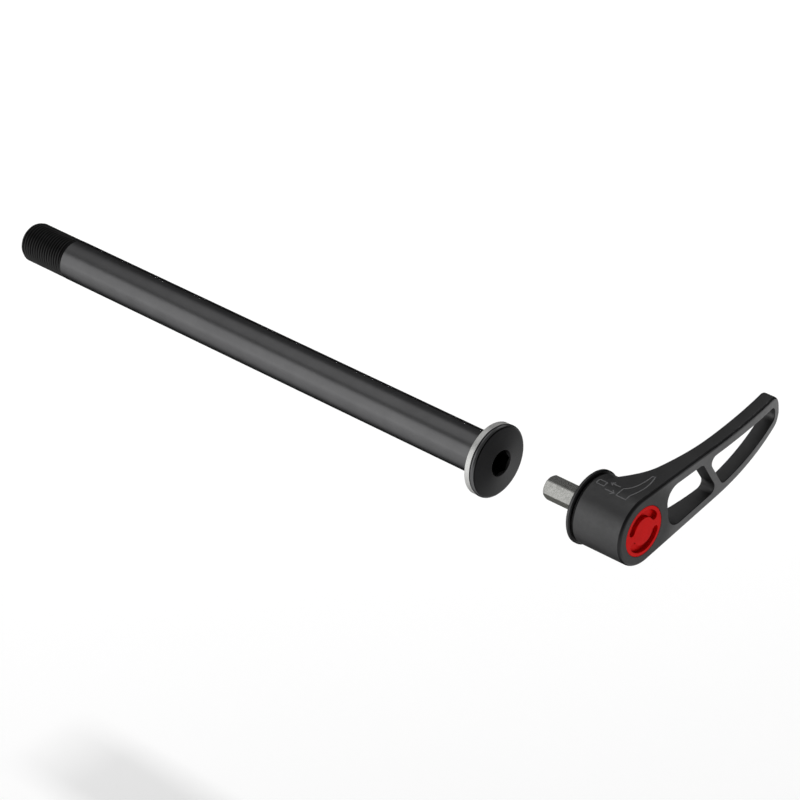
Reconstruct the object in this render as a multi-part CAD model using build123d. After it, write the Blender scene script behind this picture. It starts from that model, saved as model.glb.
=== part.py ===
from build123d import *
import math
import os

# Bicycle thru axle with its plug-in lever drawn out of the head, as it is stored.
# The axle lies along X, its thread points to -X and its head to +X, and Z is up.
# The origin is on the axle line, in the face of the washer that bears on the frame.
# All sizes are in millimetres.

# Axle shaft: one turned piece with head, hexagon socket and thread
shaft_d = 12.0
grip_length = 160.0
bore_d = 8.0
thread_length = 18.0
thread_pitch = 1.0
thread_depth_share = 0.5413
thread_flank_deg = 30.0
thread_crest_gap = 0.05
lead_in_length = 2.0
lead_in_chamfer = 0.7
head_d = 20.66
head_rim_length = 0.91
head_rear_chamfer = 0.45
head_edge_radius = 0.9
head_crown = 0.94
key_size = 6.0
key_clearance = 0.05
socket_depth = 14.5
socket_mouth_chamfer = 0.45

# Loose washer behind the head, and the rubber ring that keeps it there
washer_d = 20.5
washer_thickness = 1.65
washer_chamfer = 0.15
washer_bore_clearance = 0.07
washer_end_gap = 0.02
ring_section_d = 1.0
ring_clearance = 0.02
ring_groove_room = 0.2

# Lever: how far it is drawn out, its boss and its arm
plug_travel = 29.85
seat_gap = 0.4
boss_d = 19.5
boss_length = 17.35
rim_d = 20.5
rim_thickness = 1.2
rim_edge_chamfer = 0.3
groove_width = 1.0
groove_depth = 0.6
arm_tilt_deg = 7.5
arm_reach = 61.7
arm_taper_deg = 3.15
arm_straight_reach = 30.0
arm_tip_width = 8.5
arm_tip_corner = 4.3
arm_thickness = 4.28
arm_flat_reach = 30.0
arm_sweep_radius = 130.0
arm_hollow_reach = 35.0
arm_hollow_radius = 64.0
arm_root_radius = 9.8
arm_root_bury = 0.4
arm_foot_gap = 0.2
rail_width = 2.8
bridge_reach = 28.35
bridge_width = 2.1
bridge_lean_deg = 25.0
slot_land = 0.1
slot_corner = 1.9
slot_root_corner = 4.2
front_edge_radius = 0.85
back_edge_radius = 0.6
slot_edge_radius = 0.2

# Cap in the front of the boss, with two kidney grips
cap_d = 14.2
cap_thickness = 3.0
cap_clearance = 0.03
cap_edge_chamfer = 0.15
grip_inner_d = 7.8
grip_outer_d = 11.9
grip_depth = 1.0
grip_span_deg = 128.0
grip_edge_radius = 0.15

# Reversible tool bit, hexagon at one end and six lobes at the other, and its magnet
bit_reach = 13.55
bit_tip_chamfer = 0.5
bit_end_gap = 0.1
lobe_length = 8.0
lobe_outer_d = 4.5
lobe_valley_r = 0.55
lobe_tip_chamfer = 0.4
magnet_d = 7.1
magnet_thickness = 2.5
magnet_clearance = 0.03
magnet_chamfer = 0.2
bore_mouth_chamfer = 0.3

# Places along the axle
shaft_r = shaft_d / 2
hole_size = key_size + 2 * key_clearance
washer_seat_x = washer_thickness + washer_end_gap
ring_groove_width = ring_section_d + ring_groove_room
head_edge_x = washer_seat_x + head_rear_chamfer + head_rim_length
head_face_x = head_edge_x + head_crown
thread_start_x = -grip_length
tip_x = thread_start_x - thread_length
boss_back_x = head_face_x + seat_gap + plug_travel
front_x = boss_back_x + boss_length
cap_floor_x = front_x - cap_thickness
magnet_floor_x = cap_floor_x - magnet_thickness
bit_tip_x = boss_back_x - bit_reach
bit_end_x = magnet_floor_x - bit_end_gap

# Places on the lever, as (x, distance from the axle line)
boss_r = boss_d / 2
slot_start_reach = boss_r + slot_land
inner_sweep_radius = arm_sweep_radius - arm_thickness
sweep_centre = (front_x - arm_sweep_radius, arm_flat_reach)
hollow_lean = math.asin((arm_hollow_reach - arm_flat_reach) / inner_sweep_radius)
hollow_drop = inner_sweep_radius - arm_hollow_radius
hollow_centre = (
    sweep_centre[0] + hollow_drop * math.cos(hollow_lean),
    sweep_centre[1] + hollow_drop * math.sin(hollow_lean),
)
root_centre_r = boss_r - arm_root_bury + arm_root_radius
root_spread = arm_hollow_radius - arm_root_radius
root_lean = math.asin((root_centre_r - hollow_centre[1]) / root_spread)
root_centre = (hollow_centre[0] + root_spread * math.cos(root_lean), root_centre_r)
groove_end_x = boss_back_x + rim_thickness + groove_width
foot_x = groove_end_x + arm_foot_gap
foot_r = root_centre_r - math.sqrt(arm_root_radius**2 - (foot_x - root_centre[0]) ** 2)
root_touch = (
    hollow_centre[0] + arm_hollow_radius * math.cos(root_lean),
    hollow_centre[1] + arm_hollow_radius * math.sin(root_lean),
)
edge_tolerance = 1e-3

arm_plane = Plane(
    origin=(front_x, 0, 0),
    x_dir=(0, math.cos(math.radians(arm_tilt_deg)), math.sin(math.radians(arm_tilt_deg))),
    z_dir=(1, 0, 0),
)


def turned(points):
    """Solid turned about the axle line from a closed outline of (x, radius) points."""
    return revolve(make_face(Polyline(*points, close=True)), Axis.X)


def hexagon(across_flats):
    """Hexagon with its corners on the Y axis, seen along the axle."""
    return RegularPolygon(across_flats / 2, 6, major_radius=False, rotation=0)


def hexagon_corner_r(across_flats):
    """Distance from the middle of a hexagon to its corners."""
    return across_flats / 2 / math.cos(math.pi / 6)


def along_axle(face, start_x, end_x):
    """Prism of a face drawn in the YZ plane, between two places on the axle line."""
    return extrude(Plane.YZ.offset(start_x) * face, amount=end_x - start_x)


def on_circle(centre, radius, angle):
    """Point of a circle at an angle in radians."""
    return (centre[0] + radius * math.cos(angle), centre[1] + radius * math.sin(angle))


def arc_between(centre, radius, first, last):
    """Arc of a circle between two of its points, the short way round."""
    a = math.atan2(first[1] - centre[1], first[0] - centre[0])
    b = math.atan2(last[1] - centre[1], last[0] - centre[0])
    return ThreePointArc(first, on_circle(centre, radius, (a + b) / 2), last)


def make_axle_shaft():
    """Hollow shaft: ringed thread form, plain grip, groove for the ring, and head."""
    root_depth = thread_depth_share * thread_pitch
    flank = root_depth * math.tan(math.radians(thread_flank_deg))
    crest_r = shaft_r - thread_crest_gap
    root_r = crest_r - root_depth
    teeth = round((thread_length - lead_in_length) / thread_pitch)
    root_flat = thread_pitch / 4
    crest_flat = thread_pitch - root_flat - 2 * flank

    groove_root_r = shaft_r + washer_bore_clearance - ring_clearance - ring_section_d - ring_clearance

    points = [(tip_x, bore_d / 2), (tip_x, root_r - lead_in_chamfer)]
    points.append((tip_x + lead_in_chamfer, root_r))
    for tooth in range(teeth, 0, -1):
        x = thread_start_x - tooth * thread_pitch
        points.append((x + root_flat / 2, root_r))
        points.append((x + root_flat / 2 + flank, crest_r))
        points.append((x + root_flat / 2 + flank + crest_flat, crest_r))
        points.append((x + thread_pitch - root_flat / 2, root_r))
    points.append((thread_start_x, root_r))
    points.append((thread_start_x + shaft_r - root_r, shaft_r))
    points.append((0, shaft_r))
    points.append((0, groove_root_r))
    points.append((ring_groove_width, groove_root_r))
    points.append((ring_groove_width, shaft_r))
    points.append((washer_seat_x, shaft_r))
    points.append((washer_seat_x, head_d / 2 - head_rear_chamfer))
    points.append((washer_seat_x + head_rear_chamfer, head_d / 2))
    rim_corner = (head_edge_x, head_d / 2)
    points.append(rim_corner)
    points.append((head_face_x, key_size / 2))
    points.append((head_face_x, 0))
    socket_floor_x = head_face_x - socket_depth
    points.append((socket_floor_x, 0))
    points.append((socket_floor_x, bore_d / 2))
    section = make_face(Polyline(*points, close=True))
    rounded = fillet(section.vertices().sort_by_distance(rim_corner)[0], head_edge_radius)
    shaft = revolve(rounded, Axis.X)

    socket = along_axle(hexagon(hole_size), socket_floor_x, head_face_x)
    mouth_r = hexagon_corner_r(hole_size) + socket_mouth_chamfer
    mouth = turned([(head_face_x, 0), (head_face_x, mouth_r), (head_face_x - mouth_r / 2, 0)])
    return shaft - socket - mouth


def make_head_washer():
    """Flat washer with broken edges."""
    inner_r = shaft_r + washer_bore_clearance
    outer_r = washer_d / 2
    c = washer_chamfer
    return turned(
        [
            (0, inner_r + c),
            (0, outer_r - c),
            (c, outer_r),
            (washer_thickness - c, outer_r),
            (washer_thickness, outer_r - c),
            (washer_thickness, inner_r + c),
            (washer_thickness - c, inner_r),
            (c, inner_r),
        ]
    )


def make_washer_ring():
    """Rubber ring of round section in the groove under the washer."""
    ring_r = shaft_r + washer_bore_clearance - ring_clearance - ring_section_d / 2
    section = Pos(ring_groove_width / 2, ring_r) * Circle(ring_section_d / 2)
    return revolve(section, Axis.X)


def arm_half_width(reach):
    """Half width of the straight part of the arm at a reach from the axle line."""
    taper = math.radians(arm_taper_deg)
    return boss_r / math.cos(taper) - reach * math.tan(taper)


def arm_outline():
    """Plan of the boss and arm: sides tangent to the boss, then curving in to the tip."""
    taper = math.radians(arm_taper_deg)
    leave = (boss_r * math.sin(taper), boss_r * math.cos(taper))
    bend = (arm_straight_reach, arm_half_width(arm_straight_reach))
    tip = (arm_reach, arm_tip_width / 2)
    edges = []
    for side in (1, -1):
        edges.append(Line((leave[0], side * leave[1]), (bend[0], side * bend[1])))
        heading = (math.cos(taper), -side * math.sin(taper))
        edges.append(TangentArc((bend[0], side * bend[1]), (tip[0], side * tip[1]), tangent=heading))
    edges.append(Line(tip, (tip[0], -tip[1])))
    edges.append(ThreePointArc((leave[0], -leave[1]), (-boss_r, 0), leave))
    face = make_face(edges)
    return fillet(face.vertices().group_by(Axis.X)[-1], arm_tip_corner)


def slot_outlines():
    """The two slots: the arm's outline less its rails, parted by a leaning bridge."""
    inside = offset(arm_outline(), amount=-rail_width)
    span = 2 * arm_reach
    bridge = Pos(bridge_reach, 0) * Rot(0, 0, bridge_lean_deg)
    before = bridge * Pos(-(bridge_width + span) / 2, 0) * Rectangle(span, span)
    after = bridge * Pos((bridge_width + span) / 2, 0) * Rectangle(span, span)
    past_boss = Pos(slot_start_reach + span / 2, 0) * Rectangle(span, span)
    near = inside & past_boss & before
    near = fillet(near.vertices().sort_by(Axis.X)[:2], slot_root_corner)
    return [offset(offset(slot, amount=-slot_corner), amount=slot_corner) for slot in (near, inside & after)]


def arm_front_x(reach):
    """Front surface of the arm: flat near the boss, then swept back on an arc."""
    past = max(0.0, reach - arm_flat_reach)
    return sweep_centre[0] + math.sqrt(arm_sweep_radius**2 - past**2)


def arm_back_x(reach):
    """Back surface of the arm: parallel to the front, then hollow, then the root flare."""
    if reach > arm_hollow_reach:
        return sweep_centre[0] + math.sqrt(inner_sweep_radius**2 - (reach - arm_flat_reach) ** 2)
    if reach > root_touch[1]:
        return hollow_centre[0] + math.sqrt(arm_hollow_radius**2 - (reach - hollow_centre[1]) ** 2)
    return root_centre[0] + math.sqrt(max(0.0, arm_root_radius**2 - (reach - root_centre[1]) ** 2))


def arm_blank():
    """Turned blank of the arm: flat front swept back to the tip, hollow flare behind."""
    end_r = arm_reach + arm_tip_width / 2
    front_bend = (front_x, arm_flat_reach)
    front_end = (arm_front_x(end_r), end_r)
    back_end = (arm_back_x(end_r), end_r)
    back_bend = (arm_back_x(arm_hollow_reach), arm_hollow_reach)
    foot = (foot_x, foot_r)
    section = make_face(
        [
            Line((foot[0], 0), (front_x, 0)),
            Line((front_x, 0), front_bend),
            arc_between(sweep_centre, arm_sweep_radius, front_bend, front_end),
            Line(front_end, back_end),
            arc_between(sweep_centre, inner_sweep_radius, back_end, back_bend),
            arc_between(hollow_centre, arm_hollow_radius, back_bend, root_touch),
            arc_between(root_centre, arm_root_radius, root_touch, foot),
            Line(foot, (foot[0], 0)),
        ]
    )
    return revolve(section, Axis.X)


def outline_edges(arm, surface_x):
    """Edges where the arm's sides meet its front or back surface, given as x of reach."""
    found = []
    for edge in arm.edges():
        points = [edge @ place for place in (0, 0.25, 0.5, 0.75, 1)]
        reaches = [math.hypot(point.Y, point.Z) for point in points]
        on_surface = all(abs(p.X - surface_x(r)) < edge_tolerance for p, r in zip(points, reaches))
        is_ring = max(reaches) - min(reaches) < edge_tolerance
        is_seam = is_ring and abs(reaches[0] - boss_r) > edge_tolerance
        if on_surface and not is_seam:
            found.append(edge)
    return found


def make_lever_body():
    """Slotted arm and boss with its rim and groove, bored for bit, magnet and cap."""
    arm = arm_blank() & extrude(arm_plane * arm_outline(), amount=-boss_length)
    arm = fillet(outline_edges(arm, arm_back_x), back_edge_radius)
    arm = fillet(outline_edges(arm, arm_front_x), front_edge_radius)
    cutters = [extrude(arm_plane * slot, amount=boss_length, both=True) for slot in slot_outlines()]
    slotted = arm - cutters
    arm = fillet(new_edges(arm, *cutters, combined=slotted), slot_edge_radius)

    rim_r = rim_d / 2
    groove_x = boss_back_x + rim_thickness
    c = rim_edge_chamfer
    rear = turned(
        [
            (boss_back_x, 0),
            (boss_back_x, rim_r - c),
            (boss_back_x + c, rim_r),
            (groove_x - c, rim_r),
            (groove_x, rim_r - c),
            (groove_x, boss_r - groove_depth),
            (groove_x + groove_width - groove_depth, boss_r - groove_depth),
            (groove_x + groove_width, boss_r),
            (cap_floor_x, boss_r),
            (cap_floor_x, 0),
        ]
    )
    magnet_r = magnet_d / 2
    cap_seat = turned([(cap_floor_x, 0), (cap_floor_x, cap_d / 2), (front_x, cap_d / 2), (front_x, 0)])
    pocket = turned([(magnet_floor_x, 0), (magnet_floor_x, magnet_r), (cap_floor_x, magnet_r), (cap_floor_x, 0)])
    bit_hole = along_axle(hexagon(hole_size), boss_back_x, magnet_floor_x)
    mouth_r = hexagon_corner_r(hole_size) + bore_mouth_chamfer
    mouth = turned([(boss_back_x, 0), (boss_back_x, mouth_r), (boss_back_x + mouth_r, 0)])
    return arm + rear - cap_seat - pocket - bit_hole - mouth


def make_lever_cap():
    """Round cap that fills its seat, with a kidney-shaped finger grip on each side."""
    outer_r = cap_d / 2 - cap_clearance
    c = cap_edge_chamfer
    cap = turned(
        [
            (cap_floor_x, 0),
            (cap_floor_x, outer_r - c),
            (cap_floor_x + c, outer_r),
            (front_x - c, outer_r),
            (front_x, outer_r - c),
            (front_x, 0),
        ]
    )
    middle_r = (grip_inner_d + grip_outer_d) / 4
    width = (grip_outer_d - grip_inner_d) / 2
    grips = []
    for side in (90, -90):
        middle = CenterArc((0, 0), middle_r, side - grip_span_deg / 2, grip_span_deg)
        grips.append(extrude(arm_plane * SlotArc(middle, width), amount=grip_depth, both=True))
    gripped = cap - grips
    return fillet(new_edges(cap, *grips, combined=gripped), grip_edge_radius)


def make_bit_magnet():
    """Disc magnet that holds the bit in its hole."""
    outer_r = magnet_d / 2 - magnet_clearance
    c = magnet_chamfer
    return turned(
        [
            (magnet_floor_x, 0),
            (magnet_floor_x, outer_r - c),
            (magnet_floor_x + c, outer_r),
            (cap_floor_x - c, outer_r),
            (cap_floor_x, outer_r - c),
            (cap_floor_x, 0),
        ]
    )


def make_tool_bit():
    """Double-ended bit: hexagon outside the lever, six-lobed end inside it."""
    corner_r = hexagon_corner_r(key_size)
    lobe_start_x = bit_end_x - lobe_length
    key = along_axle(hexagon(key_size), bit_tip_x, lobe_start_x)
    c = bit_tip_chamfer
    tapered = turned(
        [
            (bit_tip_x, 0),
            (bit_tip_x, corner_r - c),
            (bit_tip_x + c, corner_r),
            (lobe_start_x - c, corner_r),
            (lobe_start_x, corner_r - c),
            (lobe_start_x, 0),
        ]
    )
    lobe_r = lobe_outer_d / 2
    star = Circle(lobe_r)
    for lobe in range(6):
        star = star - Rot(0, 0, 60 * lobe) * Pos(lobe_r, 0) * Circle(lobe_valley_r)
    k = lobe_tip_chamfer
    pointed = turned(
        [
            (lobe_start_x, 0),
            (lobe_start_x, lobe_r),
            (bit_end_x - k, lobe_r),
            (bit_end_x, lobe_r - k),
            (bit_end_x, 0),
        ]
    )
    return (key & tapered) + (along_axle(star, lobe_start_x, bit_end_x) & pointed)


pieces = {
    "axle_shaft": make_axle_shaft(),
    "head_washer": make_head_washer(),
    "washer_ring": make_washer_ring(),
    "lever_body": make_lever_body(),
    "lever_cap": make_lever_cap(),
    "bit_magnet": make_bit_magnet(),
    "tool_bit": make_tool_bit(),
}

os.makedirs("parts", exist_ok=True)
for name, piece in pieces.items():
    export_step(piece, f"parts/{name}.step")
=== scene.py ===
"""Studio picture of a bicycle thru axle with its plug-in lever drawn out of the head.

The axle lies along X with its thread towards -X, the lever stands off its head towards +X, and Z is up.
Sizes in the classes are in millimetres, and meshes are written in metres in the frame's own axes.
"""

import logging
import math
from collections.abc import Sequence
from dataclasses import dataclass
from enum import Enum

import bpy
import numpy as np
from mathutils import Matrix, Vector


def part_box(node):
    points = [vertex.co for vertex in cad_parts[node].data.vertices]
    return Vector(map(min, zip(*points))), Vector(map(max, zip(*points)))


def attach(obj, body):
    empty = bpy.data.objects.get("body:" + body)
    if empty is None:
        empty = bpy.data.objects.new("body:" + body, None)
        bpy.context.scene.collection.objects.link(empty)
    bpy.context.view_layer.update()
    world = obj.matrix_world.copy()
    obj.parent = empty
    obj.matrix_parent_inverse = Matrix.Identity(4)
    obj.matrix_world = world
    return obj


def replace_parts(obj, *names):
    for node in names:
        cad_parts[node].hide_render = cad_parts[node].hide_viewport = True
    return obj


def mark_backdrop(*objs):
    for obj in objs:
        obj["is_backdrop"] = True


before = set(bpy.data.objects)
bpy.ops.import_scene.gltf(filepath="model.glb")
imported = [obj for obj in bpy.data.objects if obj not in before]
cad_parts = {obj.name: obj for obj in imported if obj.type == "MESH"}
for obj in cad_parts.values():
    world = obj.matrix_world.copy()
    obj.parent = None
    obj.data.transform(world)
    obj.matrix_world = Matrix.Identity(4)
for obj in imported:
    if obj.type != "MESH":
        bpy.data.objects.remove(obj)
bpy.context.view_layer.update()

LOG = logging.getLogger("thru_axle")
MM = 0.001
# Most of a noise lies between these shares of its range.
NOISE_MIDDLE = (0.3, 0.7)
NOISE_DETAIL = 3.0
# Gloss varies in smaller spots than colour does.
GLOSS_SPOTS_PER_BLOTCH = 5
# A rounded corner's support points lie this share of its rounding outside its arc.
SUPPORT_SHARE = 0.04
# Corners of a frame node that agree to this many decimals of a millimetre are one point.
MERGE_DECIMALS = 4
SIXTH = math.pi / 3

Colour = tuple[float, float, float]
Point = tuple[float, float, float]
Place = tuple[float, float]
Span = tuple[float, float]
Face = list[int]


class Body(Enum):
    """Rigid bodies of the frame that a piece can ride on."""

    AXLE = "axle"
    WASHER = "washer"
    LEVER = "lever"
    BIT = "bit"


class Slot(Enum):
    """Material slots of the record, one of which each piece names."""

    BLACK = "black_anodised"
    WASHER = "washer_steel"
    RUBBER = "ring_rubber"
    RED = "red_anodised"
    NICKEL = "magnet_nickel"
    BIT = "bit_steel"


class Grain(Enum):
    """How a surface was worked, which sets the pattern of its fine relief."""

    BLASTED = "blasted"
    TURNED = "turned"


class NodeBoard:
    """Node tree of one material, with short calls that add its nodes and join them."""

    def __init__(self, name: str) -> None:
        """Starts a material whose patterns read the piece's own coordinates.

        Args:
            name: The material's name.
        """
        self.material = bpy.data.materials.new(name)
        self.material.use_nodes = True
        self.tree = self.material.node_tree
        self.shader = self.tree.nodes["Principled BSDF"]
        self.place = self.add("ShaderNodeTexCoord").outputs["Object"]

    def add(self, kind: str, **settings: object) -> bpy.types.ShaderNode:
        """Adds a node.

        Args:
            kind: The node's type name.
            settings: Properties to set on it.

        Returns:
            The new node.
        """
        node = self.tree.nodes.new(kind)
        for name, value in settings.items():
            setattr(node, name, value)
        return node

    def join(self, source: bpy.types.NodeSocket, target: bpy.types.NodeSocket) -> None:
        """Links an output to an input."""
        self.tree.links.new(source, target)

    def math(
        self, operation: str, first: bpy.types.NodeSocket, second: bpy.types.NodeSocket | float = 0.0
    ) -> bpy.types.NodeSocket:
        """Applies a sum to a value and to another one or a constant.

        Args:
            operation: Name of the sum.
            first: The value.
            second: The other value or the constant, where the sum takes two.

        Returns:
            The result.
        """
        node = self.add("ShaderNodeMath", operation=operation)
        self.join(first, node.inputs[0])
        if isinstance(second, float):
            node.inputs[1].default_value = second
        else:
            self.join(second, node.inputs[1])
        return node.outputs[0]

    def noise(self, grain_mm: float) -> bpy.types.NodeSocket:
        """Cloudy noise.

        Args:
            grain_mm: Size of its blotches.

        Returns:
            The noise, from 0 to 1.
        """
        node = self.add("ShaderNodeTexNoise")
        node.inputs["Scale"].default_value = 1 / (grain_mm * MM)
        node.inputs["Detail"].default_value = NOISE_DETAIL
        self.join(self.place, node.inputs["Vector"])
        return node.outputs["Fac"]

    def from_axle(self) -> bpy.types.NodeSocket:
        """Distance from the axle line: the length of the place with its X left out.

        Returns:
            The distance in metres.
        """
        across = self.add("ShaderNodeVectorMath", operation="MULTIPLY")
        across.inputs[1].default_value = (0.0, 1.0, 1.0)
        self.join(self.place, across.inputs[0])
        length = self.add("ShaderNodeVectorMath", operation="LENGTH")
        self.join(across.outputs["Vector"], length.inputs[0])
        return length.outputs["Value"]

    def lathe_lines(self, pitch_mm: float) -> bpy.types.NodeSocket:
        """Rings left by a tool: a sine of place along the axle plus distance from it.

        Args:
            pitch_mm: Distance between rings.

        Returns:
            The sine, from -1 to 1.
        """
        split = self.add("ShaderNodeSeparateXYZ")
        self.join(self.place, split.inputs[0])
        total = self.math("ADD", split.outputs["X"], self.from_axle())
        turns = self.math("MULTIPLY", total, 2 * math.pi / (pitch_mm * MM))
        return self.math("SINE", turns)

    def spread(self, value: bpy.types.NodeSocket, low: float, high: float) -> bpy.types.NodeSocket:
        """Maps the middle of a noise to a range.

        Args:
            value: The noise.
            low: Result where the noise is low.
            high: Result where it is high.

        Returns:
            The mapped value.
        """
        node = self.add("ShaderNodeMapRange")
        node.inputs["From Min"].default_value, node.inputs["From Max"].default_value = NOISE_MIDDLE
        node.inputs["To Min"].default_value = low
        node.inputs["To Max"].default_value = high
        self.join(value, node.inputs["Value"])
        return node.outputs["Result"]

    def shade(self, value: bpy.types.NodeSocket, dark: Colour, light: Colour) -> None:
        """Colours the surface between two shades by a noise.

        Args:
            value: The noise.
            dark: Colour where it is low.
            light: Colour where it is high.
        """
        ramp = self.add("ShaderNodeValToRGB")
        for stop, position, colour in zip(ramp.color_ramp.elements, NOISE_MIDDLE, (dark, light)):
            stop.position = position
            stop.color = (*colour, 1.0)
        self.join(value, ramp.inputs["Fac"])
        self.join(ramp.outputs["Color"], self.shader.inputs["Base Color"])

    def paint_shade_near_axle(self, reach_mm: Span, painted_shade_share: float) -> None:
        """Paints shade near the axle: the colour is darkened close to it and comes back to full farther
        out, standing in for a dark reflection.

        Args:
            reach_mm: Distances from the axle where the painted shade begins to lift and where it is gone.
            painted_shade_share: Share of the colour kept where the painted shade is full.
        """
        rise = self.add("ShaderNodeMapRange", interpolation_type="SMOOTHSTEP")
        rise.inputs["From Min"].default_value = reach_mm[0] * MM
        rise.inputs["From Max"].default_value = reach_mm[1] * MM
        rise.inputs["To Min"].default_value = painted_shade_share
        self.join(self.from_axle(), rise.inputs["Value"])
        scaled = self.add("ShaderNodeVectorMath", operation="SCALE")
        self.join(self.shader.inputs["Base Color"].links[0].from_socket, scaled.inputs[0])
        self.join(rise.outputs["Result"], scaled.inputs["Scale"])
        self.join(scaled.outputs["Vector"], self.shader.inputs["Base Color"])

    def relief(self, height: bpy.types.NodeSocket, depth_mm: float) -> None:
        """Gives the surface a fine relief.

        Args:
            height: The pattern.
            depth_mm: Height of the relief where the pattern goes from 0 to 1.
        """
        bump = self.add("ShaderNodeBump")
        bump.inputs["Strength"].default_value = 1.0
        bump.inputs["Distance"].default_value = depth_mm * MM
        self.join(height, bump.inputs["Height"])
        self.join(bump.outputs["Normal"], self.shader.inputs["Normal"])


@dataclass(frozen=True)
class Finish:
    """Finish of one surface: two close shades, gloss that varies, and a fine relief.

    Attributes:
        name: The material's name.
        dark: Darker shade of its blotches.
        light: Lighter shade.
        metallic: Share of bare metal.
        roughness: Lowest and highest roughness.
        grain: Kind of relief.
        grain_mm: Size of the relief's grain, or distance between lathe lines.
        relief_mm: Height of the relief.
        edge_tint: Share of the reflection at a grazing angle that is kept.
        blotch_mm: Size of the blotches.
        painted_shade_reach_mm: Distances from the axle where a painted shade near it begins to lift and
            where it is gone, if it has one.
        painted_shade_share: Share of the colour kept where the painted shade is full.
    """

    name: str
    dark: Colour
    light: Colour
    metallic: float
    roughness: Span
    grain: Grain
    grain_mm: float
    relief_mm: float
    edge_tint: float = 1.0
    blotch_mm: float = 6.0
    painted_shade_reach_mm: Span | None = None
    painted_shade_share: float = 1.0

    def pattern(self, board: NodeBoard) -> bpy.types.NodeSocket:
        """Pattern of the relief.

        Args:
            board: The material's nodes.

        Returns:
            The pattern's height.
        """
        if self.grain is Grain.TURNED:
            return board.lathe_lines(self.grain_mm)
        return board.noise(self.grain_mm)

    def material(self) -> bpy.types.Material:
        """Builds the material, or gives the one already built under this name.

        Returns:
            The material.
        """
        found = bpy.data.materials.get(self.name)
        if found:
            return found
        board = NodeBoard(self.name)
        board.shade(board.noise(self.blotch_mm), self.dark, self.light)
        # Painted shade: darkens the colour near the axle, standing in for the dark reflection on the boss's
        # front ring.
        if self.painted_shade_reach_mm:
            board.paint_shade_near_axle(self.painted_shade_reach_mm, self.painted_shade_share)
        gloss = board.spread(board.noise(self.blotch_mm / GLOSS_SPOTS_PER_BLOTCH), *self.roughness)
        board.join(gloss, board.shader.inputs["Roughness"])
        board.shader.inputs["Metallic"].default_value = self.metallic
        tint = self.edge_tint
        board.shader.inputs["Specular Tint"].default_value = (tint, tint, tint, 1.0)
        board.relief(self.pattern(board), self.relief_mm)
        return board.material


# The plain shaft's copy of the axle's black anodising, the lightest of its copies; the others are darker as
# painted shade.
GROUND_BLACK = Finish(
    name="ground_black",
    dark=(0.129, 0.129, 0.131),
    light=(0.144, 0.144, 0.146),
    metallic=1.0,
    roughness=(0.29, 0.33),
    grain=Grain.BLASTED,
    grain_mm=0.25,
    relief_mm=0.0004,
    edge_tint=0.0,
)
# Painted shade: a much darker copy of the axle's black anodising for the head's turned face, standing in
# for the darker reflection there.
HEAD_PAINTED_SHADE = Finish(
    name="head_painted_shade",
    dark=(0.0105, 0.0105, 0.011),
    light=(0.013, 0.013, 0.0135),
    metallic=1.0,
    roughness=(0.22, 0.27),
    grain=Grain.TURNED,
    grain_mm=0.3,
    relief_mm=0.0003,
)
# Painted shade: a darker copy of the axle's black anodising for the socket and bore, set to the darkness of
# the pit.
SOCKET_PAINTED_SHADE = Finish(
    name="socket_painted_shade",
    dark=(0.018, 0.018, 0.018),
    light=(0.022, 0.022, 0.022),
    metallic=1.0,
    roughness=(0.4, 0.5),
    grain=Grain.BLASTED,
    grain_mm=0.2,
    relief_mm=0.002,
    edge_tint=0.0,
)
# Painted shade: a darker copy of the axle's black anodising for the thread, standing in for the dark look
# of its flanks.
THREAD_PAINTED_SHADE = Finish(
    name="thread_painted_shade",
    dark=(0.045, 0.045, 0.045),
    light=(0.055, 0.055, 0.055),
    metallic=1.0,
    roughness=(0.3, 0.38),
    grain=Grain.BLASTED,
    grain_mm=0.2,
    relief_mm=0.002,
    edge_tint=0.0,
)
# The lever's anodising on its sides; the rounded front edges and the front take darker and lighter copies
# of it, painted by the way each face is turned.
LEVER_BLACK = Finish(
    name="lever_black",
    dark=(0.086, 0.086, 0.087),
    light=(0.098, 0.098, 0.099),
    metallic=1.0,
    roughness=(0.42, 0.5),
    grain=Grain.BLASTED,
    grain_mm=0.16,
    relief_mm=0.0025,
    edge_tint=0.25,
)
# Painted shade: a much darker copy of the lever's anodising on the rounded front edges, standing in for the
# dark reflection along them.
EDGE_PAINTED_SHADE = Finish(
    name="edge_painted_shade",
    dark=(0.03, 0.03, 0.031),
    light=(0.037, 0.037, 0.038),
    metallic=1.0,
    roughness=(0.36, 0.44),
    grain=Grain.BLASTED,
    grain_mm=0.16,
    relief_mm=0.0025,
    edge_tint=0.25,
)
# Painted light and shade: a lighter copy of the lever's anodising on the faces turned to +X, standing in
# for the brighter reflection on the front, and darkened near the axle as painted shade on the boss's front
# ring.
FRONT_PAINTED_LIGHT_AND_SHADE = Finish(
    name="front_painted_light_and_shade",
    dark=(0.104, 0.104, 0.105),
    light=(0.116, 0.116, 0.117),
    metallic=1.0,
    roughness=(0.38, 0.46),
    grain=Grain.BLASTED,
    grain_mm=0.16,
    relief_mm=0.0025,
    painted_shade_reach_mm=(9.0, 16.0),
    painted_shade_share=0.37,
)
WASHER_STEEL = Finish(
    name="washer_satin",
    dark=(0.62, 0.62, 0.605),
    light=(0.72, 0.72, 0.705),
    metallic=0.93,
    roughness=(0.36, 0.46),
    grain=Grain.BLASTED,
    grain_mm=0.3,
    relief_mm=0.003,
    edge_tint=0.0,
)
BIT_STEEL = Finish(
    name="bit_satin",
    dark=(0.32, 0.32, 0.305),
    light=(0.46, 0.46, 0.44),
    metallic=1.0,
    roughness=(0.24, 0.3),
    grain=Grain.BLASTED,
    grain_mm=0.3,
    relief_mm=0.0025,
    edge_tint=0.0,
    blotch_mm=0.6,
)
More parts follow.
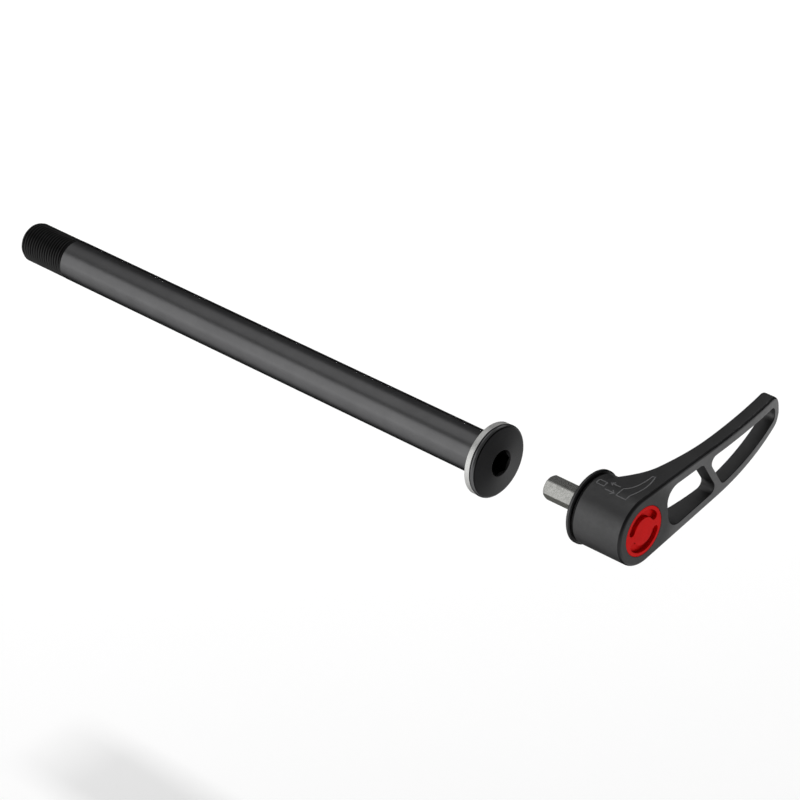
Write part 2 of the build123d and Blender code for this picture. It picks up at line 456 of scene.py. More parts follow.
CAP_RED = Finish(
    name="cap_red",
    dark=(0.68, 0.004, 0.004),
    light=(0.75, 0.005, 0.005),
    metallic=0.65,
    roughness=(0.34, 0.42),
    grain=Grain.BLASTED,
    grain_mm=0.2,
    relief_mm=0.002,
    edge_tint=0.0,
    blotch_mm=3.0,
)
RING_RUBBER = Finish(
    name="ring_nitrile",
    dark=(0.012, 0.012, 0.012),
    light=(0.02, 0.02, 0.02),
    metallic=0.0,
    roughness=(0.6, 0.75),
    grain=Grain.BLASTED,
    grain_mm=0.2,
    relief_mm=0.004,
)
MAGNET_NICKEL = Finish(
    name="magnet_plating",
    dark=(0.6, 0.58, 0.54),
    light=(0.7, 0.68, 0.64),
    metallic=1.0,
    roughness=(0.16, 0.24),
    grain=Grain.BLASTED,
    grain_mm=0.4,
    relief_mm=0.001,
)
MARK_GREY = Finish(
    name="mark_grey",
    dark=(0.075, 0.075, 0.077),
    light=(0.1, 0.1, 0.102),
    metallic=0.0,
    roughness=(0.55, 0.7),
    grain=Grain.BLASTED,
    grain_mm=0.1,
    relief_mm=0.002,
    blotch_mm=0.8,
)


@dataclass(frozen=True)
class Corner:
    """Corner of a turned outline at a place along the axle and a radius, with its rounding."""

    x: float
    r: float
    rounding: float = 0.0


def rounded_outline(corners: Sequence[Corner], steps: int = 8) -> np.ndarray:
    """Outline through corners, each cut back to its tangent points and bridged by an arc.

    A point is added just outside each tangent point, so that flats stay flat when shaded smooth.

    Args:
        corners: The corners in order. The first and last stay sharp.
        steps: Points on each arc, less one.

    Returns:
        Rows of (x, radius).
    """
    rows = [np.array([[corners[0].x, corners[0].r]])]
    for before, corner, after in zip(corners, corners[1:], corners[2:]):
        middle = np.array([corner.x, corner.r])
        if corner.rounding == 0.0:
            rows.append(middle[None])
            continue
        back = np.array([before.x, before.r]) - middle
        ahead = np.array([after.x, after.r]) - middle
        back /= np.linalg.norm(back)
        ahead /= np.linalg.norm(ahead)
        half = math.acos(float(np.clip(back @ ahead, -1, 1))) / 2
        cut = corner.rounding / math.tan(half)
        bisector = (back + ahead) / np.linalg.norm(back + ahead)
        centre = middle + bisector * corner.rounding / math.sin(half)
        first = middle + back * cut - centre
        last = middle + ahead * cut - centre
        share = np.linspace(0, 1, steps + 1)[:, None]
        sweep = math.pi - 2 * half
        arc = (np.sin((1 - share) * sweep) * first + np.sin(share * sweep) * last) / math.sin(sweep)
        support = corner.rounding * SUPPORT_SHARE
        rows.append(middle + back[None] * (cut + support))
        rows.append(centre + arc)
        rows.append(middle + ahead[None] * (cut + support))
    rows.append(np.array([[corners[-1].x, corners[-1].r]]))
    return np.concatenate(rows)


def around(x: np.ndarray, r: np.ndarray, angles: np.ndarray) -> np.ndarray:
    """Rings about the axle line: (x, r cos a, r sin a) over rows and angles.

    Args:
        x: Place along the axle, by row or by row and angle.
        r: Radius, by row or by row and angle.
        angles: Angles from Y towards Z.

    Returns:
        Points by row and angle.
    """
    shape = (len(x), len(angles))
    across = np.broadcast_to(x.reshape(len(x), -1), shape)
    reach = np.broadcast_to(r.reshape(len(r), -1), shape)
    return np.stack([across, reach * np.cos(angles), reach * np.sin(angles)], axis=-1)


def even_angles(count: int) -> np.ndarray:
    """Angles of a full turn, evenly spaced from Y towards Z."""
    return np.arange(count) * (2 * math.pi / count)


def from_sixth(angles: np.ndarray) -> np.ndarray:
    """Angle to the nearest whole sixth of a turn, counted from Y."""
    return np.abs(np.mod(angles + SIXTH / 2, SIXTH) - SIXTH / 2)


def hexagon_radius(across_flats: float, angles: np.ndarray) -> np.ndarray:
    """Radius of a hexagon with corners on Y: half its size over the cosine of the angle to a flat.

    Args:
        across_flats: Distance between opposite flats.
        angles: Angles from Y.

    Returns:
        Radius at each angle.
    """
    from_flat = np.mod(angles, SIXTH) - SIXTH / 2
    return across_flats / 2 / np.cos(from_flat)


def grid_quads(rows: int, columns: int, close_rows: bool) -> np.ndarray:
    """Corner numbers of a grid's quads, which face outwards where rows run along X and columns turn.

    Each row closes on itself.

    Args:
        rows: Rows of points.
        columns: Points in each row.
        close_rows: Whether the last row joins the first.

    Returns:
        Four corner numbers for each quad.
    """
    row_count = rows if close_rows else rows - 1
    row, column = np.meshgrid(np.arange(row_count), np.arange(columns), indexing="ij")
    next_row = (row + 1) % rows * columns
    next_column = (column + 1) % columns
    row = row * columns
    corners = [row + column, row + next_column, next_row + next_column, next_row + column]
    return np.stack(corners, axis=-1).reshape(-1, 4)


def end_faces(rows: int, columns: int) -> list[Face]:
    """Flat faces that close the first and last rows of a grid.

    Args:
        rows: Rows of points.
        columns: Points in each row.

    Returns:
        Corner numbers of the two faces.
    """
    first = list(range(columns))[::-1]
    last = list(range((rows - 1) * columns, rows * columns))
    return [first, last]


def bend(start: Place, control: Place, end: Place, steps: int = 12) -> np.ndarray:
    """Curve between two flat places that is pulled towards a third: a quadratic Bezier.

    Args:
        start: Where it begins.
        control: The place that it is pulled towards.
        end: Where it ends.
        steps: Points on it, less one.

    Returns:
        Rows of flat places.
    """
    share = np.linspace(0, 1, steps + 1)[:, None]
    weights = np.concatenate([(1 - share) ** 2, 2 * share * (1 - share), share**2], axis=1)
    return weights @ np.array([start, control, end])


def short_steps(path: np.ndarray, closed: bool, longest: float) -> np.ndarray:
    """Adds places along a flat path, so that it can follow a curved surface.

    Args:
        path: Rows of flat places.
        closed: Whether the last joins the first.
        longest: Longest step to leave between places.

    Returns:
        Rows of flat places, with the given ones among them.
    """
    rows = []
    for start, end in zip(path, np.roll(path, -1, axis=0) if closed else path[1:]):
        count = math.ceil(math.dist(start, end) / longest)
        rows.append(start + np.arange(count)[:, None] / count * (end - start))
    if not closed:
        rows.append(path[-1:])
    return np.concatenate(rows)


def mitred_sides(path: np.ndarray, closed: bool) -> np.ndarray:
    """Offsets to the left of a flat path, long enough at corners to keep a line's width even.

    Args:
        path: Rows of flat places.
        closed: Whether the last joins the first.

    Returns:
        One offset for each place.
    """
    ahead = np.roll(path, -1, axis=0) - path
    ahead /= np.linalg.norm(ahead, axis=1)[:, None]
    before = np.roll(ahead, 1, axis=0)
    if not closed:
        ahead[-1] = before[-1]
        before[0] = ahead[0]
    left_ahead = np.stack([-ahead[:, 1], ahead[:, 0]], axis=1)
    left_before = np.stack([-before[:, 1], before[:, 0]], axis=1)
    along = np.sum(left_ahead * left_before, axis=1)[:, None]
    return (left_ahead + left_before) / (1 + along)


@dataclass
class Piece:
    """A visible piece: its mesh in millimetres, what it rides on and how it is finished."""

    name: str
    body: Body
    slot: Slot
    finishes: tuple[Finish, ...]
    sharp_deg: float = 35.0

    def build(
        self, points: np.ndarray, faces: list[Face], finish_of_face: np.ndarray | None = None
    ) -> bpy.types.Object:
        """Makes the piece's object, shaded smooth but for edges sharper than its limit.

        Args:
            points: Points in millimetres, in any grid shape.
            faces: Corner numbers of each face.
            finish_of_face: Number of each face's finish, where there are several.

        Returns:
            The new object, riding on its body.
        """
        mesh = bpy.data.meshes.new(self.name)
        mesh.from_pydata((points.reshape(-1, 3) * MM).tolist(), [], faces)
        for finish in self.finishes:
            mesh.materials.append(finish.material())
        if finish_of_face is not None:
            mesh.polygons.foreach_set("material_index", finish_of_face.astype(np.int32))
        mesh.shade_smooth()
        mesh.set_sharp_from_angle(angle=math.radians(self.sharp_deg))
        mesh.update()
        piece = bpy.data.objects.new(self.name, mesh)
        bpy.context.scene.collection.objects.link(piece)
        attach(piece, self.body.value)
        LOG.info("%s: %d points, %d faces", self.name, len(mesh.vertices), len(mesh.polygons))
        return piece


def node_skin(node: str, piece: Piece, painted_light_leans: Sequence[float] = ()) -> bpy.types.Object:
    """Stands a smooth copy of a frame node in its place, with its loose triangles merged.

    A triangle takes a later finish the more its normal, the product of its sides, leans to +X, so light and
    shade can be painted by the way a face is turned.

    Args:
        node: The node's name.
        piece: The piece that stands for it.
        painted_light_leans: Shares of +X in the normal past which the second and later finishes begin.

    Returns:
        The new object.
    """
    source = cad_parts[node].data
    source.calc_loop_triangles()
    corners = np.empty(len(source.vertices) * 3, np.float64)
    source.vertices.foreach_get("co", corners)
    triangles = np.empty(len(source.loop_triangles) * 3, np.int32)
    source.loop_triangles.foreach_get("vertices", triangles)
    corners = corners.reshape(-1, 3) / MM
    rounded = np.round(corners, MERGE_DECIMALS)
    _, first, merged = np.unique(rounded, axis=0, return_index=True, return_inverse=True)
    triangles = merged.reshape(-1)[triangles].reshape(-1, 3)
    a, b, c = triangles.T
    whole = (a != b) & (b != c) & (c != a)
    points, triangles = corners[first], triangles[whole]
    a, b, c = points[triangles].swapaxes(0, 1)
    normal = np.cross(b - a, c - a)
    lean = normal[:, 0] / np.linalg.norm(normal, axis=1)
    skin = piece.build(points, triangles.tolist(), np.searchsorted(painted_light_leans, lean, side="right"))
    weighted = skin.modifiers.new("even_shading", "WEIGHTED_NORMAL")
    weighted.keep_sharp = True
    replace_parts(skin, node)
    return skin


@dataclass
class Axle:
    """Hollow axle with a helical thread, a flanged head with a hexagon socket, washer and ring."""

    shaft_r: float = 6.0
    bore_r: float = 4.0
    thread_length: float = 18.0
    pitch: float = 1.0
    crest_r: float = 5.95
    thread_depth: float = 0.54
    thread_flatness: float = 1.8
    lead_in: float = 0.7
    lead_round: float = 0.15
    thread_fade_in: float = 1.0
    thread_fade_out: float = 0.4
    shoulder_round: float = 0.12
    groove_depth: float = 0.97
    groove_width: float = 1.2
    groove_round: float = 0.06
    seat_x: float = 1.67
    head_rear_chamfer: float = 0.45
    head_rear_round: float = 0.08
    head_rim: float = 0.91
    head_rim_round: float = 0.12
    head_edge: float = 0.9
    socket_size: float = 6.1
    socket_depth: float = 14.5
    mouth_chamfer: float = 0.25
    mouth_slope: float = 0.5
    mouth_round: float = 0.08
    socket_support: float = 0.15
    bore_support: float = 0.3
    washer_gap: float = 0.07
    washer_edge: float = 0.15
    ring_section: float = 1.0
    ring_rows: int = 24
    ring_columns: int = 96
    columns: int = 192
    rows_per_turn: int = 14

    @property
    def root_r(self) -> float:
        """Radius at the bottom of the thread."""
        return self.crest_r - self.thread_depth

    def thread_rows(
        self, start_x: float, end_x: float, angles: np.ndarray
    ) -> tuple[np.ndarray, np.ndarray]:
        """Right-hand thread: the radius is a flattened cosine of place less turn, fading at the ends.

        Args:
            start_x: Where the thread begins, at the tip.
            end_x: Where it meets the plain shaft.
            angles: Angles of the columns.

        Returns:
            Place by row, and radius by row and angle.
        """
        count = round((end_x - start_x) / self.pitch * self.rows_per_turn)
        x = np.linspace(start_x, end_x, count + 1)
        phase = x[:, None] / self.pitch - angles[None] / (2 * math.pi)
        flat = np.tanh(self.thread_flatness * np.cos(2 * math.pi * phase))
        wave = 0.5 + 0.5 * flat / math.tanh(self.thread_flatness)
        rise = np.clip((x - start_x) / self.thread_fade_in, 0, 1)
        fall = np.clip((end_x - x) / self.thread_fade_out, 0, 1)
        return x, self.root_r + self.thread_depth * wave * (rise * fall)[:, None]

    def outside_outline(
        self, shoulder: Place, thread_end_x: float, head_r: float, mouth: Place
    ) -> np.ndarray:
        """Outline from the end of the thread along the shaft and over the head to the socket's mouth.

        Its first and last corners only give directions and are left off.

        Args:
            shoulder: Place and radius where the thread ends and a short cone begins.
            thread_end_x: Where the cone meets the plain shaft.
            head_r: Radius of the head.
            mouth: Place and radius of the socket's mouth, in the head's face.

        Returns:
            Rows of (x, radius).
        """
        groove_r = self.shaft_r - self.groove_depth
        rim_x = self.seat_x + self.head_rear_chamfer
        mouth_x, mouth_r = mouth
        return rounded_outline([
            Corner(*shoulder),
            Corner(thread_end_x, self.shaft_r, self.shoulder_round),
            Corner(0.0, self.shaft_r, self.groove_round),
            Corner(0.0, groove_r),
            Corner(self.groove_width, groove_r),
            Corner(self.groove_width, self.shaft_r),
            Corner(self.seat_x, self.shaft_r),
            Corner(self.seat_x, head_r - self.head_rear_chamfer, self.head_rear_round),
            Corner(rim_x, head_r, self.head_rim_round),
            Corner(rim_x + self.head_rim, head_r, self.head_edge),
            Corner(mouth_x, mouth_r, self.mouth_round),
            Corner(mouth_x - self.mouth_slope * mouth_r, 0.0),
        ])[1:-1]

    def shaft(self) -> bpy.types.Object:
        """Builds the axle as one closed surface: outside to the head, then back through socket and bore.

        Returns:
            The axle's object.
        """
        low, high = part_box("axle_shaft")
        tip_x, face_x, head_r = low.x / MM, high.x / MM, high.y / MM
        thread_start_x = tip_x + self.lead_in
        thread_end_x = tip_x + self.thread_length
        shoulder_x = thread_end_x - (self.shaft_r - self.root_r) / 2
        bore_end_x = tip_x + self.bore_support
        floor_x = face_x - self.socket_depth
        angles = even_angles(self.columns)
        hexagon = hexagon_radius(self.socket_size, angles)
        mouth_r = hexagon.max() + self.mouth_chamfer

        lead = rounded_outline([
            Corner(tip_x, self.bore_r),
            Corner(tip_x, self.root_r - self.lead_in, self.lead_round),
            Corner(thread_start_x, self.root_r),
        ])
        thread_x, thread_r = self.thread_rows(thread_start_x, shoulder_x, angles)
        shoulder = (shoulder_x, self.root_r)
        outside = self.outside_outline(shoulder, thread_end_x, head_r, (face_x, mouth_r))
        bore = rounded_outline([Corner(floor_x, self.bore_r), Corner(bore_end_x, self.bore_r)])
        chamfer_x = face_x - self.mouth_slope * (mouth_r - hexagon)
        socket_x = np.stack([chamfer_x, chamfer_x - self.socket_support, np.full_like(angles, floor_x)])
        parts = [
            around(lead[:, 0], lead[:, 1], angles),
            around(thread_x[1:-1], thread_r[1:-1], angles),
            around(outside[:, 0], outside[:, 1], angles),
            around(socket_x, np.broadcast_to(hexagon, socket_x.shape), angles),
            around(bore[:, 0], bore[:, 1], angles),
        ]
        points = np.concatenate(parts)
        rows = len(points)
        quads = grid_quads(rows, self.columns, close_rows=True)
        shaft_row = len(parts[0]) + len(parts[1])
        head_row = shaft_row + int(np.flatnonzero(outside[:, 1] > head_r - self.head_edge / 2).max())
        socket_row = shaft_row + len(parts[2]) - 1
        # Rows take copies of the one black anodising: the thread's, the head face's and the socket's are
        # darker than the plain shaft's, as painted shade.
        finishes = (THREAD_PAINTED_SHADE, GROUND_BLACK, HEAD_PAINTED_SHADE, SOCKET_PAINTED_SHADE)
        finish = np.searchsorted([shaft_row, head_row, socket_row], np.arange(rows), side="right")
        # Painted highlight: the narrow band of socket wall just below the mouth chamfer takes the lighter
        # plain-shaft copy, drawing a faint light line along the hexagon's edge.
        painted_highlight_row = socket_row + 1
        finish[painted_highlight_row] = finishes.index(GROUND_BLACK)
        piece = Piece("axle_shaft_turned", Body.AXLE, Slot.BLACK, finishes)
        shaft = piece.build(points, quads.tolist(), np.repeat(finish, self.columns))
        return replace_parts(shaft, "axle_shaft")

    def washer(self) -> bpy.types.Object:
        """Builds the loose washer as a closed ring with softened edges.

        Returns:
            The washer's object.
        """
        _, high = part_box("head_washer")
        thick, outer_r = high.x / MM, high.y / MM
        inner_r = self.shaft_r + self.washer_gap
        edge = self.washer_edge
        outline = rounded_outline([
            Corner(0.0, (inner_r + outer_r) / 2),
            Corner(0.0, outer_r, edge),
            Corner(thick, outer_r, edge),
            Corner(thick, inner_r, edge),
            Corner(0.0, inner_r, edge),
            Corner(0.0, (inner_r + outer_r) / 2),
        ])[:-1]
        angles = even_angles(self.columns)
        points = around(outline[:, 0], outline[:, 1], angles)
        quads = grid_quads(len(points), self.columns, close_rows=True)
        piece = Piece("head_washer_turned", Body.WASHER, Slot.WASHER, (WASHER_STEEL,))
        washer = piece.build(points, quads.tolist())
        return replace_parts(washer, "head_washer")

    def ring(self) -> bpy.types.Object:
        """Builds the rubber ring: a circle carried round the axle.

        Returns:
            The ring's object.
        """
        low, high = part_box("washer_ring")
        half = self.ring_section / 2
        centre_x = (low.x + high.x) / 2 / MM
        centre_r = high.y / MM - half
        turn = -even_angles(self.ring_rows)
        x, r = centre_x + half * np.cos(turn), centre_r + half * np.sin(turn)
        points = around(x, r, even_angles(self.ring_columns))
        quads = grid_quads(self.ring_rows, self.ring_columns, close_rows=True)
        piece = Piece("washer_ring_rubber", Body.AXLE, Slot.RUBBER, (RING_RUBBER,))
        ring = piece.build(points, quads.tolist())
        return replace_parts(ring, "washer_ring")

    def build(self) -> None:
        """Builds the axle's pieces."""
        self.shaft()
        self.washer()
        self.ring()


@dataclass
class Lever:
    """Slotted lever with its cap, magnet and the marks on its upper side."""

    boss_r: float = 9.75
    tilt_deg: float = 7.5
    taper_deg: float = 3.15
    # Leans to +X past which faces take the painted-shade edge copy and then the painted-light front copy.
    painted_light_leans: Span = (0.2, 0.8)
    body_sharp_deg: float = 40.0
    cap_sharp_deg: float = 30.0
    magnet_flat_r: float = 1.0
    magnet_edge: float = 0.2
    mark_width: float = 0.3
    mark_height: float = 0.03
    mark_sink: float = 0.05
    mark_step: float = 0.3
    arrow_ends: Span = (-10.8, -7.9)
    arrows_across: Span = (0.7, -2.1)
    barb_share: float = 0.28
    barb_half: float = 0.7
    columns: int = 96

    def on_upper_side(self, along: np.ndarray, across: np.ndarray, height: float) -> np.ndarray:
        """Wraps flat places onto the arm's upper side, which runs on round the boss.

        Args:
            along: Place along X from the front face, negative to the back.
            across: Distance out along the arm from where it leaves the boss, negative round the boss.
            height: Distance off the surface.

        Returns:
            Points in the frame's axes.
        """
        front_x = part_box("lever_body")[1].x / MM
        leave = math.pi / 2 + math.radians(self.tilt_deg - self.taper_deg)
        angle = leave - np.minimum(across, 0) / self.boss_r
        out = np.maximum(across, 0)
        reach = self.boss_r + height
        y = reach * np.cos(angle) + out * math.cos(leave - math.pi / 2)
        z = reach * np.sin(angle) + out * math.sin(leave - math.pi / 2)
        return np.stack([front_x + along, y, z], axis=-1)

    def mark_paths(self) -> list[tuple[np.ndarray, bool]]:
        """Marks that show the bit drawn out of the lever and put back: bit, two arrows and a lever.

        Returns:
            Flat paths as rows of (along, across), each with whether it closes on itself.
        """
        lever = np.concatenate([
            [(-6.9, -2.4)],
            bend((-6.9, 0.6), (-4.3, 2.6), (-4.5, 9.2)),
            bend((-3.8, 9.5), (-1.9, 4.4), (-3.8, -0.6)),
            [(-3.8, -2.4)],
        ])
        bit = np.array([
            (-14.2, -1.2), (-13.9, -1.5), (-11.7, -1.5),
            (-11.7, 0.1), (-13.9, 0.1), (-14.2, -0.2),
        ])
        paths = [(lever, True), (bit, True)]
        for (tip, tail), across in zip((self.arrow_ends, self.arrow_ends[::-1]), self.arrows_across):
            barb = tip + self.barb_share * (tail - tip)
            head = [(barb, across + self.barb_half), (tip, across), (barb, across - self.barb_half)]
            paths.append((np.array([(tail, across), (tip, across)]), False))
            paths.append((np.array(head), False))
        return paths

    def marks(self) -> bpy.types.Object:
        """Builds the marks: a flat rectangle carried along each path and wrapped on the upper side.

        Returns:
            The marks' object.
        """
        points: list[np.ndarray] = []
        faces: list[Face] = []
        first = 0
        for corners, closed in self.mark_paths():
            path = short_steps(corners, closed, self.mark_step)
            side = mitred_sides(path, closed) * self.mark_width / 2
            left, right = path + side, path - side
            section = [(left, -self.mark_sink), (left, self.mark_height)]
            section += [(right, self.mark_height), (right, -self.mark_sink)]
            edges = [self.on_upper_side(flat[:, 0], flat[:, 1], height) for flat, height in section]
            ribbon = np.stack(edges, axis=1)
            faces += (grid_quads(len(path), len(section), close_rows=closed) + first).tolist()
            if not closed:
                faces += (np.array(end_faces(len(path), len(section))) + first).tolist()
            points.append(ribbon.reshape(-1, 3))
            first += len(section) * len(path)
        piece = Piece("lever_marks", Body.LEVER, Slot.BLACK, (MARK_GREY,))
        return piece.build(np.concatenate(points), faces)

    def body(self) -> bpy.types.Object:
        """Dresses the boss and arm, with a darker copy painted as shade on the rounded front edges and a
        lighter copy painted as light on the front, which is itself darkened near the axle as painted shade.

        Returns:
            The body's object.
        """
        finishes = (LEVER_BLACK, EDGE_PAINTED_SHADE, FRONT_PAINTED_LIGHT_AND_SHADE)
        piece = Piece("lever_body_forged", Body.LEVER, Slot.BLACK, finishes, self.body_sharp_deg)
        return node_skin("lever_body", piece, self.painted_light_leans)

    def cap(self) -> bpy.types.Object:
        """Dresses the red cap."""
        piece = Piece("lever_cap_red", Body.LEVER, Slot.RED, (CAP_RED,), self.cap_sharp_deg)
        return node_skin("lever_cap", piece)

    def magnet(self) -> bpy.types.Object:
        """Builds the disc magnet behind the cap.

        Returns:
            The magnet's object.
        """
        low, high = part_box("bit_magnet")
        back_x, front_x, outer_r = low.x / MM, high.x / MM, high.y / MM
        outline = rounded_outline([
            Corner(back_x, self.magnet_flat_r),
            Corner(back_x, outer_r, self.magnet_edge),
            Corner(front_x, outer_r, self.magnet_edge),
            Corner(front_x, self.magnet_flat_r),
        ])
        points = around(outline[:, 0], outline[:, 1], even_angles(self.columns))
        faces = grid_quads(len(points), self.columns, close_rows=False).tolist()
        faces += end_faces(len(points), self.columns)
        magnet = Piece("bit_magnet_disc", Body.LEVER, Slot.NICKEL, (MAGNET_NICKEL,)).build(points, faces)
        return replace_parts(magnet, "bit_magnet")

    def build(self) -> None:
        """Builds the lever's pieces."""
        self.body()
        self.cap()
        self.magnet()
        self.marks()


@dataclass
class ToolBit:
    """Reversible bit: a hexagon outside the lever and six lobes inside it."""

    size: float = 6.0
    corner_round: float = 0.35
    tip_chamfer: float = 0.5
    lobe_length: float = 8.0
    lobe_r: float = 2.25
    valley_r: float = 0.55
    lobe_chamfer: float = 0.4
    edge_support: float = 0.15
    sharp_deg: float = 25.0
    columns: int = 192

    def hexagon(self, angles: np.ndarray) -> np.ndarray:
        """Hexagon whose corners are rounded by an arc, as radius over angle.

        Args:
            angles: Angles from Y.

        Returns:
            Radius at each angle.
        """
        sharp = hexagon_radius(self.size, angles)
        from_corner = from_sixth(angles)
        centre = (self.size / 2 - self.corner_round) / math.cos(SIXTH / 2)
        tangent = SIXTH / 2 - math.atan(centre / self.size)
        arc = centre * np.cos(from_corner)
        arc = arc + np.sqrt(np.maximum(self.corner_round**2 - (centre * np.sin(from_corner)) ** 2, 0))
        return np.where(from_corner < tangent, arc, sharp)

    def lobes(self, angles: np.ndarray) -> np.ndarray:
        """Six-lobed star: a circle cut by six round valleys, as radius over angle.

        Args:
            angles: Angles from Y.

        Returns:
            Radius at each angle.
        """
        from_valley = from_sixth(angles)
        inside = self.valley_r**2 - (self.lobe_r * np.sin(from_valley)) ** 2
        valley = self.lobe_r * np.cos(from_valley) - np.sqrt(np.maximum(inside, 0))
        return np.where(inside > 0, np.minimum(valley, self.lobe_r), self.lobe_r)

    def build(self) -> bpy.types.Object:
        """Builds the bit: tip, hexagon, shoulder, lobes and end, each row following its own edge.

        Returns:
            The bit's object.
        """
        low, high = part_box("tool_bit")
        tip_x, end_x = low.x / MM, high.x / MM
        angles = even_angles(self.columns)
        hexagon = self.hexagon(angles)
        star = self.lobes(angles)
        shoulder_x = end_x - self.lobe_length
        tip_r = hexagon_radius(self.size, angles).max() - self.tip_chamfer
        cut = np.maximum(hexagon - tip_r, 0.0)
        x = np.stack([
            np.full_like(angles, tip_x),
            tip_x + cut,
            tip_x + cut + self.edge_support,
            shoulder_x - cut - self.edge_support,
            shoulder_x - cut,
            np.full_like(angles, shoulder_x),
            np.full_like(angles, shoulder_x),
            np.full_like(angles, end_x - self.lobe_chamfer),
            np.full_like(angles, end_x),
        ])
        tip_row = np.minimum(tip_r, hexagon)
        end_row = np.minimum(star, self.lobe_r - self.lobe_chamfer)
        r = np.stack([tip_row, hexagon, hexagon, hexagon, hexagon, tip_row, star, star, end_row])
        points = around(x, r, angles)
        faces = grid_quads(len(points), self.columns, close_rows=False).tolist()
        faces += end_faces(len(points), self.columns)
        piece = Piece("tool_bit_ground", Body.BIT, Slot.BIT, (BIT_STEEL,), self.sharp_deg)
        bit = piece.build(points, faces)
        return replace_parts(bit, "tool_bit")


@dataclass(frozen=True)
class SoftBox:
    """Lamp with an even face.

    Attributes:
        name: The lamp's name.
        place: Its centre in metres.
        aim: The point that it faces, in metres.
        size: Its width and height in metres.
        radiance: How bright its face looks, where 1 is white.
        mirrored: Whether it shows in reflections.
    """

    name: str
    place: Point
    aim: Point
    size: Place
    radiance: float
    mirrored: bool = True

    def hang(self) -> None:
        """Hangs the lamp facing its aim, out of the camera's sight."""
        width, height = self.size
        light = bpy.data.lights.new(self.name, "AREA")
        light.shape = "RECTANGLE"
        light.size = width
        light.size_y = height
        light.energy = self.radiance * math.pi * width * height
        lamp = bpy.data.objects.new(self.name, light)
        bpy.context.scene.collection.objects.link(lamp)
        x, y, z = np.array(self.aim) - np.array(self.place)
        lamp.location = self.place
        lamp.rotation_euler = (math.atan2(math.hypot(x, y), -z), 0.0, math.atan2(-x, y))
        lamp.visible_camera = False
        lamp.visible_glossy = self.mirrored


FRONT_BOX = SoftBox(
    name="front_box",
    place=(-0.75, -1.1, 0.3),
    aim=(-0.05, 0.0, 0.0),
    size=(1.8, 1.1),
    radiance=0.95,
)
TOP_BOX = SoftBox(
    name="top_box",
    place=(-0.5, 0.0, 0.95),
    aim=(-0.05, 0.0, 0.0),
    size=(0.9, 0.8),
    radiance=0.52,
)
EDGE_BOX = SoftBox(
    name="edge_box",
    place=(0.0, 0.5, 0.4),
    aim=(-0.1, 0.0, 0.0),
    size=(0.4, 0.3),
    radiance=1.0,
)
BACK_BOX = SoftBox(
    name="back_box",
    place=(-0.6, 0.95, 0.25),
    aim=(0.0, 0.02, 0.0),
    size=(1.2, 0.4),
    radiance=0.5,
)
# High and far off, it draws the soft shadow on the floor and doesn't show in the metal.
SHADOW_BOX = SoftBox(
    name="shadow_box",
    place=(-0.33, 0.12, 3.2),
    aim=(-0.33, 0.12, 0.0),
    size=(0.55, 0.55),
    radiance=74.0,
    mirrored=False,
)


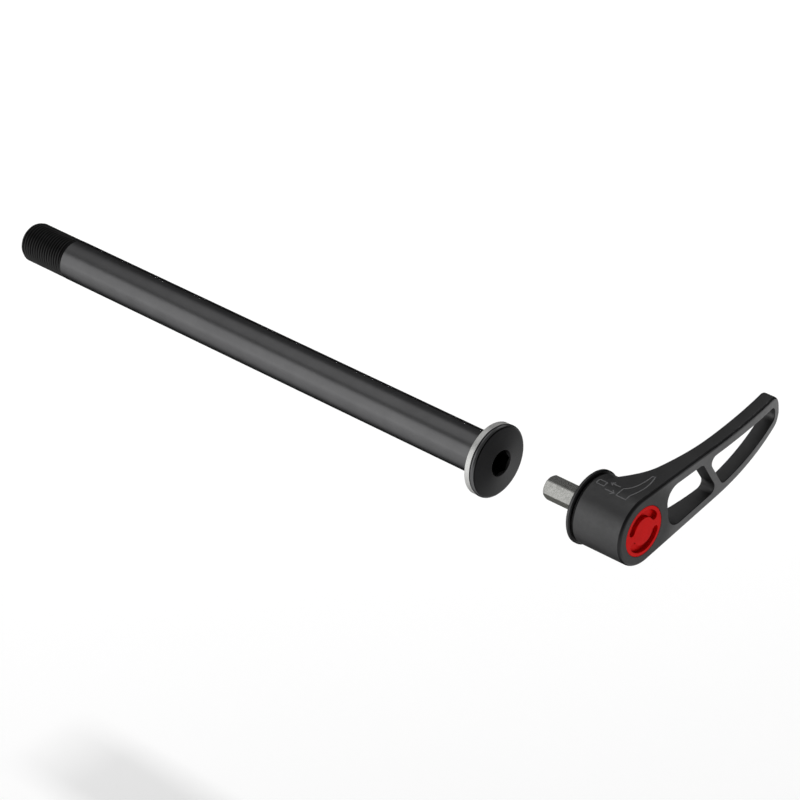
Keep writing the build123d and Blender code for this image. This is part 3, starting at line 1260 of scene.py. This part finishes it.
@dataclass
class Studio:
    """Pale floor, soft lamps and the camera at the picture's viewing angle."""

    boxes: tuple[SoftBox, ...] = (FRONT_BOX, TOP_BOX, EDGE_BOX, BACK_BOX, SHADOW_BOX)
    floor_z: float = -180.0
    floor_half: float = 20000.0
    floor_shade: float = 0.8
    near_glow: float = 0.15
    far_glow: float = 0.33
    far_reach: float = 800.0
    world_level: float = 0.18
    lens_mm: float = 145.1
    sensor_mm: float = 36.0
    azimuth_deg: float = 42.606
    elevation_deg: float = 30.971
    camera_place: Point = (466.80, -542.32, 446.88)

    def floor_material(self) -> bpy.types.Material:
        """Pale matt floor with a faint glow that only the camera and reflections see.

        The glow grows away from the camera, where the lamps reach less: it follows the place's
        product with the camera's level direction.

        Returns:
            The material.
        """
        board = NodeBoard("floor_pale")
        shade = self.floor_shade
        board.shader.inputs["Base Color"].default_value = (shade, shade, shade, 1.0)
        board.shader.inputs["Roughness"].default_value = 1.0
        board.shader.inputs["Specular IOR Level"].default_value = 0.0
        path = board.add("ShaderNodeLightPath")
        seen = board.math("MAXIMUM", path.outputs["Is Camera Ray"], path.outputs["Is Glossy Ray"])
        seen = board.math("MAXIMUM", seen, path.outputs["Is Transmission Ray"])
        away = board.add("ShaderNodeVectorMath", operation="DOT_PRODUCT")
        turn = math.radians(self.azimuth_deg)
        away.inputs[1].default_value = (-math.sin(turn), math.cos(turn), 0.0)
        board.join(board.place, away.inputs[0])
        evened = board.add("ShaderNodeMapRange")
        evened.inputs["From Max"].default_value = self.far_reach * MM
        evened.inputs["To Min"].default_value = self.near_glow
        evened.inputs["To Max"].default_value = self.far_glow
        board.join(away.outputs["Value"], evened.inputs["Value"])
        glow = board.math("MULTIPLY", seen, evened.outputs["Result"])
        board.shader.inputs["Emission Color"].default_value = (1.0, 1.0, 1.0, 1.0)
        board.join(glow, board.shader.inputs["Emission Strength"])
        return board.material

    def floor(self) -> bpy.types.Object:
        """Lays the floor under the pieces, where it keeps their shadow.

        Returns:
            Nothing, as mark_backdrop gives back nothing.
        """
        half = self.floor_half * MM
        height = self.floor_z * MM
        corners = [(x * half, y * half, height) for x, y in ((-1, -1), (1, -1), (1, 1), (-1, 1))]
        mesh = bpy.data.meshes.new("floor")
        mesh.from_pydata(corners, [], [(0, 1, 2, 3)])
        mesh.materials.append(self.floor_material())
        floor = bpy.data.objects.new("floor", mesh)
        bpy.context.scene.collection.objects.link(floor)
        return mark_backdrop(floor)

    def world(self) -> None:
        """Fills the shadows with even grey light."""
        world = bpy.data.worlds.new("studio_air")
        world.use_nodes = True
        background = world.node_tree.nodes["Background"]
        background.inputs["Color"].default_value = (1.0, 1.0, 1.0, 1.0)
        background.inputs["Strength"].default_value = self.world_level
        bpy.context.scene.world = world

    def camera(self) -> None:
        """Sets the camera where the picture was taken from."""
        lens = bpy.data.cameras.new("camera")
        lens.lens = self.lens_mm
        lens.sensor_width = self.sensor_mm
        camera = bpy.data.objects.new("camera", lens)
        bpy.context.scene.collection.objects.link(camera)
        camera.location = [value * MM for value in self.camera_place]
        camera.rotation_euler = (math.radians(90 - self.elevation_deg), 0.0, math.radians(self.azimuth_deg))
        bpy.context.scene.camera = camera

    def build(self) -> None:
        """Builds the stage."""
        bpy.context.scene.view_settings.view_transform = "Standard"
        self.world()
        self.floor()
        for box in self.boxes:
            box.hang()
        self.camera()


def main() -> None:
    """Builds the stage, the axle, the lever and the bit."""
    logging.basicConfig(level=logging.INFO, format="%(name)s: %(message)s")
    Studio().build()
    Axle().build()
    Lever().build()
    ToolBit().build()


if __name__ == "__main__":
    main()
